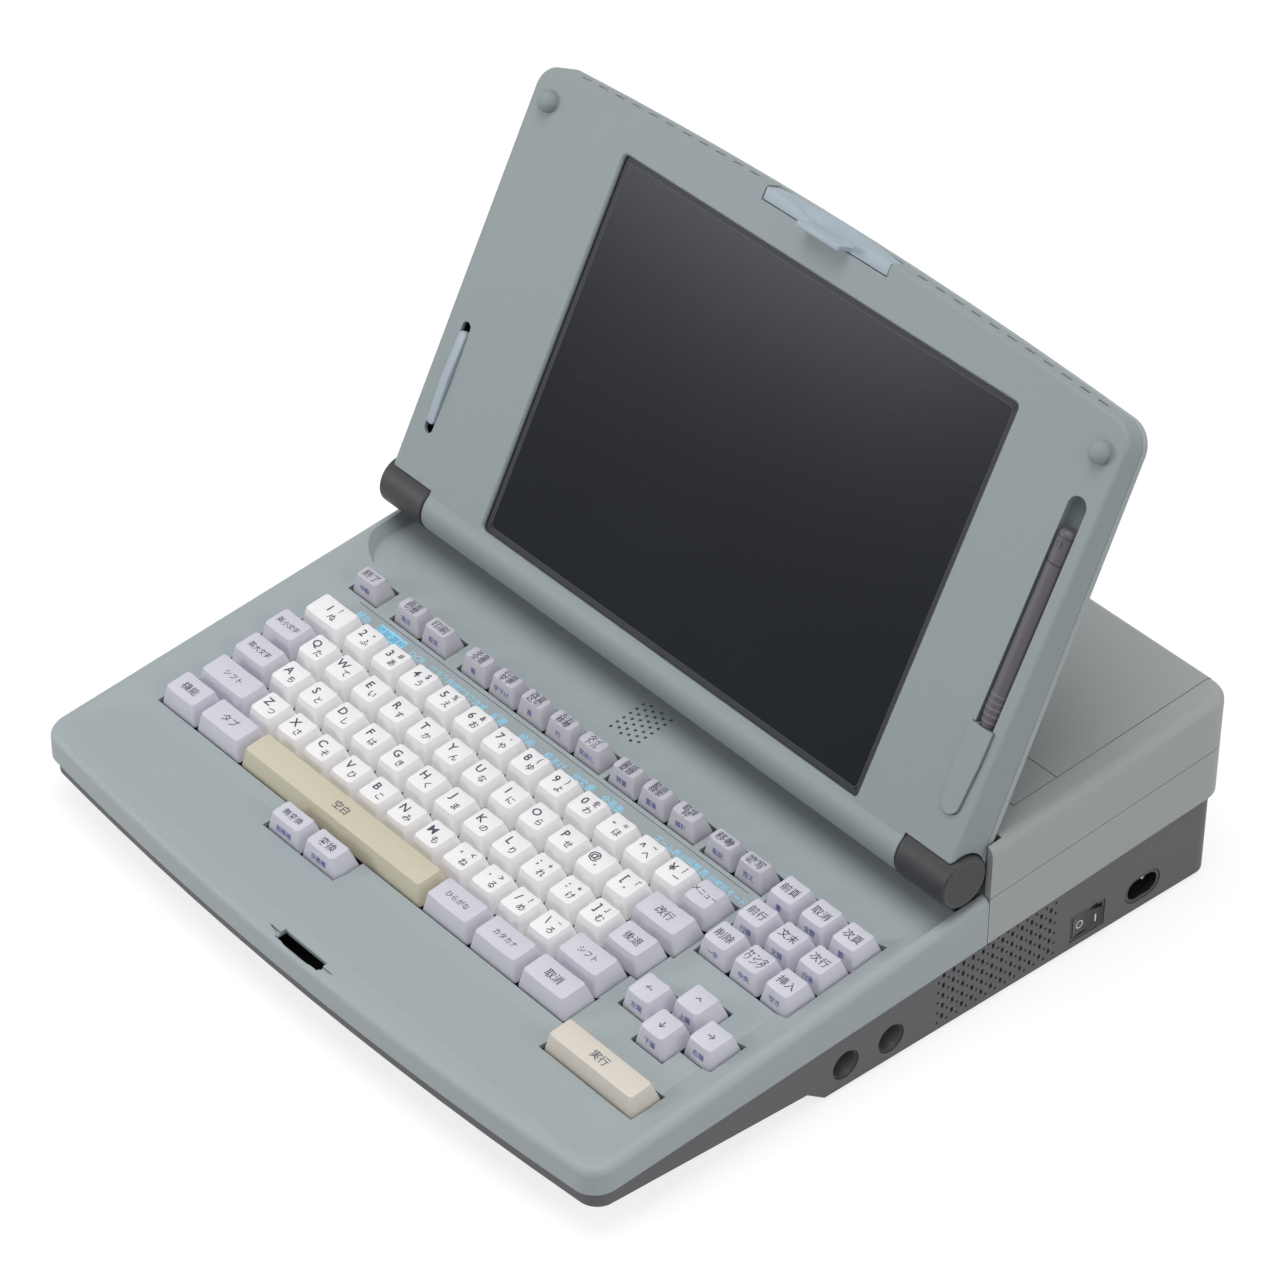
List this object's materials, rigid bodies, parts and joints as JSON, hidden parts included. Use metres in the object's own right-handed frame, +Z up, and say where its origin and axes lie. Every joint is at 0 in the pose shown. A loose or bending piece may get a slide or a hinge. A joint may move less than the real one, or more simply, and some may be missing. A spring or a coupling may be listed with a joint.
{
  "type": "electronic word processor",
  "caption": "Portable word processor with tilting display, full keyboard, stylus and a thermal printer bay in the rear housing.",
  "frame": {"origin": "on the table, under the middle of the case footprint", "axes": "+X to the user's right, +Y to the rear, +Z up"},
  "size_m": [0.375, 0.369, 0.274],
  "materials": {
    "case_light": "fine satin texture",
    "case_dark": "fine satin texture",
    "rubber_grey": "matt",
    "steel_zinc": "zinc plated",
    "board_green": "solder resist",
    "plastic_black": "satin",
    "drive_grey": "satin",
    "motor_steel": "plain",
    "gear_white": "satin",
    "platen_rubber": "ground",
    "screen_glass": "anti-glare",
    "lcd_dark": "gloss",
    "latch_blue": "satin",
    "pen_grey": "satin",
    "sleeve_green": "satin",
    "key_white": "fine texture",
    "key_grey": "fine texture",
    "key_beige": "fine texture"
  },
  "bodies": {
    "case": {"base_tray": "case_dark", "keyboard_deck": "case_light", "rear_band": "case_light", "rear_cover": "case_light", "printer_strip": "case_light", "rubber_feet": "rubber_grey", "case_screws": "steel_zinc", "main_board": "board_green", "power_supply": "board_green", "mains_inlet": "plastic_black", "connector_jacks": "plastic_black", "switch_box": "plastic_black", "speaker": "plastic_black", "key_frame": "plastic_black", "switch_board": "board_green", "keyboard_plate": "steel_zinc", "hinge_cover_left": "case_dark", "hinge_cover_right": "case_dark", "diskette_drive": "drive_grey", "printer_chassis": "steel_zinc", "guide_rods": "steel_zinc", "feed_motor": "motor_steel", "carriage_motor": "motor_steel", "carriage_belt": "plastic_black"},
    "display": {"display_bezel": "case_light", "display_back": "case_light", "lcd_glass": "screen_glass", "lcd_panel": "lcd_dark", "inverter_board": "board_green", "hinge_pins": "steel_zinc", "lid_bumpers": "rubber_grey", "pen_sleeve": "sleeve_green"},
    "latch": {"lid_latch": "latch_blue"},
    "slider": {"contrast_slider": "latch_blue"},
    "pen": {"stylus": "pen_grey"},
    "paper_cover": {"paper_cover": "case_light"},
    "platen": {"platen_roller": "platen_rubber", "platen_shaft": "steel_zinc", "platen_gear": "gear_white"},
    "pinion": {"motor_pinion": "gear_white"},
    "carriage": {"print_carriage": "plastic_black", "print_head": "plastic_black", "ribbon_cassette": "plastic_black"},
    "eject_button": {"eject_button": "drive_grey"},
    "power_rocker": {"power_rocker": "plastic_black"},
    "number_keys": {"number_keys": "key_white"},
    "upper_keys": {"upper_keys": "key_white"},
    "home_keys": {"home_keys": "key_white"},
    "lower_keys": {"lower_keys": "key_white"},
    "command_keys": {"command_keys": "key_grey"},
    "convert_keys": {"convert_keys": "key_grey"},
    "function_keys": {"function_keys": "key_grey"},
    "pad_keys": {"pad_keys": "key_grey"},
    "arrow_keys": {"arrow_keys": "key_grey"},
    "space_bar": {"space_bar": "key_beige"},
    "execute_key": {"execute_key": "key_beige"},
    "return_key": {"return_key": "key_grey"},
    "backspace_key": {"backspace_key": "key_grey"},
    "shift_key_left": {"shift_key_left": "key_grey"},
    "shift_key_right": {"shift_key_right": "key_grey"}
  },
  "joints": [
    {"name": "display_hinge", "type": "hinge", "parent": "case", "child": "display", "pos_m": [0, 0.027, 0.0782], "axis": [1, 0, 0], "range_deg": [0, 123.6]},
    {"name": "latch_slide", "type": "slide", "parent": "display", "child": "latch", "axis": [0, 0.454, 0.891], "range_m": [0, 0.0025], "stiffness_N_per_m": 300, "springref_m": -0.002},
    {"name": "contrast_slide", "type": "slide", "parent": "display", "child": "slider", "axis": [0, 0.454, 0.891], "range_m": [-0.004, 0.004]},
    {"name": "pen_slide", "type": "slide", "parent": "display", "child": "pen", "axis": [0, 0.454, 0.891], "range_m": [0, 0.012]},
    {"name": "paper_cover_hinge", "type": "hinge", "parent": "case", "child": "paper_cover", "pos_m": [0, 0.18, 0.09527], "axis": [-1, 0, 0], "range_deg": [0, 100]},
    {"name": "platen_spin", "type": "hinge", "parent": "case", "child": "platen", "pos_m": [0, 0.1155, 0.069], "axis": [1, 0, 0], "continuous": true},
    {"name": "pinion_spin", "type": "hinge", "parent": "case", "child": "pinion", "pos_m": [0, 0.13975, 0.069], "axis": [1, 0, 0], "continuous": true},
    {"name": "carriage_slide", "type": "slide", "parent": "case", "child": "carriage", "axis": [1, 0, 0], "range_m": [-0.07, 0.19]},
    {"name": "eject_press", "type": "slide", "parent": "case", "child": "eject_button", "axis": [1, 0, 0], "range_m": [0, 0.003], "stiffness_N_per_m": 400, "springref_m": -0.001},
    {"name": "power_tilt", "type": "hinge", "parent": "case", "child": "power_rocker", "pos_m": [0.1797, 0.105, 0.0126], "axis": [0, 0, 1], "range_deg": [0, 14]},
    {"name": "number_keys_press", "type": "slide", "parent": "case", "child": "number_keys", "axis": [0, 0.1155, -0.9933], "range_m": [0, 0.0035], "stiffness_N_per_m": 1950, "springref_m": -0.003},
    {"name": "upper_keys_press", "type": "slide", "parent": "case", "child": "upper_keys", "axis": [0, 0.1155, -0.9933], "range_m": [0, 0.0035], "stiffness_N_per_m": 1800, "springref_m": -0.003},
    {"name": "home_keys_press", "type": "slide", "parent": "case", "child": "home_keys", "axis": [0, 0.1155, -0.9933], "range_m": [0, 0.0035], "stiffness_N_per_m": 1800, "springref_m": -0.003},
    {"name": "lower_keys_press", "type": "slide", "parent": "case", "child": "lower_keys", "axis": [0, 0.1155, -0.9933], "range_m": [0, 0.0035], "stiffness_N_per_m": 1650, "springref_m": -0.003},
    {"name": "command_keys_press", "type": "slide", "parent": "case", "child": "command_keys", "axis": [0, 0.1155, -0.9933], "range_m": [0, 0.0035], "stiffness_N_per_m": 1200, "springref_m": -0.003},
    {"name": "convert_keys_press", "type": "slide", "parent": "case", "child": "convert_keys", "axis": [0, 0.1155, -0.9933], "range_m": [0, 0.0035], "stiffness_N_per_m": 300, "springref_m": -0.003},
    {"name": "function_keys_press", "type": "slide", "parent": "case", "child": "function_keys", "axis": [0, 0.1155, -0.9933], "range_m": [0, 0.0035], "stiffness_N_per_m": 1950, "springref_m": -0.003},
    {"name": "pad_keys_press", "type": "slide", "parent": "case", "child": "pad_keys", "axis": [0, 0.1155, -0.9933], "range_m": [0, 0.0035], "stiffness_N_per_m": 1350, "springref_m": -0.003},
    {"name": "arrow_keys_press", "type": "slide", "parent": "case", "child": "arrow_keys", "axis": [0, 0.1155, -0.9933], "range_m": [0, 0.0035], "stiffness_N_per_m": 600, "springref_m": -0.003},
    {"name": "space_bar_press", "type": "slide", "parent": "case", "child": "space_bar", "axis": [0, 0.1155, -0.9933], "range_m": [0, 0.0035], "stiffness_N_per_m": 300, "springref_m": -0.003},
    {"name": "execute_key_press", "type": "slide", "parent": "case", "child": "execute_key", "axis": [0, 0.1155, -0.9933], "range_m": [0, 0.0035], "stiffness_N_per_m": 150, "springref_m": -0.003},
    {"name": "return_key_press", "type": "slide", "parent": "case", "child": "return_key", "axis": [0, 0.1155, -0.9933], "range_m": [0, 0.0035], "stiffness_N_per_m": 150, "springref_m": -0.003},
    {"name": "backspace_key_press", "type": "slide", "parent": "case", "child": "backspace_key", "axis": [0, 0.1155, -0.9933], "range_m": [0, 0.0035], "stiffness_N_per_m": 150, "springref_m": -0.003},
    {"name": "shift_key_left_press", "type": "slide", "parent": "case", "child": "shift_key_left", "axis": [0, 0.1155, -0.9933], "range_m": [0, 0.0035], "stiffness_N_per_m": 150, "springref_m": -0.003},
    {"name": "shift_key_right_press", "type": "slide", "parent": "case", "child": "shift_key_right", "axis": [0, 0.1155, -0.9933], "range_m": [0, 0.0035], "stiffness_N_per_m": 150, "springref_m": -0.003}
  ],
  "couplings": [
    {"joint": "pinion_spin", "follows": "platen_spin", "ratio": -3}
  ]
}
